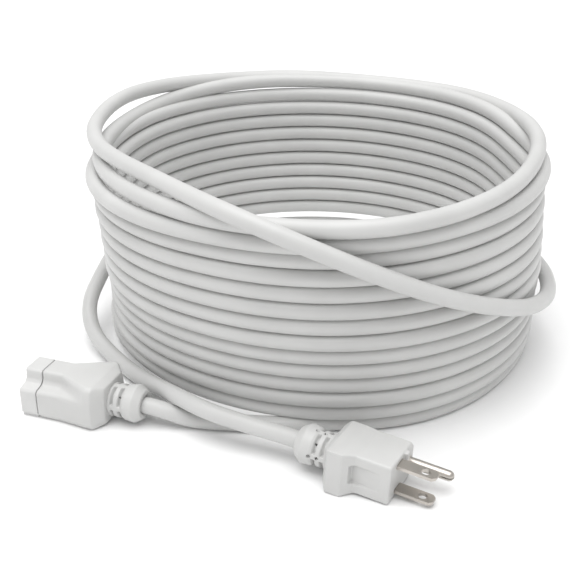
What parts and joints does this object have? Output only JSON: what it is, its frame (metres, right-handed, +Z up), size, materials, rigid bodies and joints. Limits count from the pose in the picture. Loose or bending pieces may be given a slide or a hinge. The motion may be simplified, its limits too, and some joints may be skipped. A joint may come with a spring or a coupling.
{
  "type": "grounded extension cord",
  "caption": "White grounded household extension cord stood up as a tall round coil, its moulded plug and its moulded connector lying in front.",
  "frame": {"origin": "on the resting surface, under the middle of the whole object's bounding box", "axes": "+Z up; +Y away from the side that the plug and the connector lie on; +X to the right seen from that side"},
  "size_m": [0.2755, 0.2953, 0.1227],
  "materials": {
    "white_vinyl": "satin moulded vinyl",
    "face_plastic": "smooth hard plastic",
    "bridge_plastic": "plain hard plastic",
    "nickel": "satin nickel plate",
    "contact_brass": "stamped brass strip",
    "copper": "bare stranded copper",
    "core_white": "vinyl insulation",
    "core_black": "vinyl insulation",
    "core_green": "vinyl insulation"
  },
  "bodies": {
    "cord": {"cord_coil": "white_vinyl", "cord_plug_lead": "white_vinyl", "cord_connector_lead": "white_vinyl"},
    "plug": {"plug_body": "white_vinyl", "plug_bridge": "bridge_plastic", "plug_neutral_blade": "nickel", "plug_line_blade": "nickel", "plug_ground_pin": "nickel", "plug_neutral_core": "core_white", "plug_neutral_copper": "copper", "plug_line_core": "core_black", "plug_line_copper": "copper", "plug_ground_core": "core_green", "plug_ground_copper": "copper", "plug_cord_end": "white_vinyl", "plug_strain_relief": "white_vinyl"},
    "connector": {"connector_body": "white_vinyl", "connector_face": "face_plastic", "connector_neutral_contact": "contact_brass", "connector_line_contact": "contact_brass", "connector_ground_contact": "contact_brass", "connector_neutral_core": "core_white", "connector_neutral_copper": "copper", "connector_line_core": "core_black", "connector_line_copper": "copper", "connector_ground_core": "core_green", "connector_ground_copper": "copper", "connector_cord_end": "white_vinyl", "connector_strain_relief": "white_vinyl"}
  },
  "joints": [
    {"name": "plug_flex", "type": "hinge", "parent": "cord", "child": "plug", "pos_m": [0.00895, -0.12046, 0.01182], "axis": [0, 0, 1], "range_deg": [-30, 30], "stiffness_Nm_per_rad": 0.12, "deforming": ["plug_strain_relief", "plug_cord_end", "cord_plug_lead"]},
    {"name": "connector_flex", "type": "hinge", "parent": "cord", "child": "connector", "pos_m": [-0.08794, -0.07726, 0.0103], "axis": [0, 0, 1], "range_deg": [-12, 25], "stiffness_Nm_per_rad": 0.12, "deforming": ["connector_strain_relief", "connector_cord_end", "cord_connector_lead"]}
  ]
}
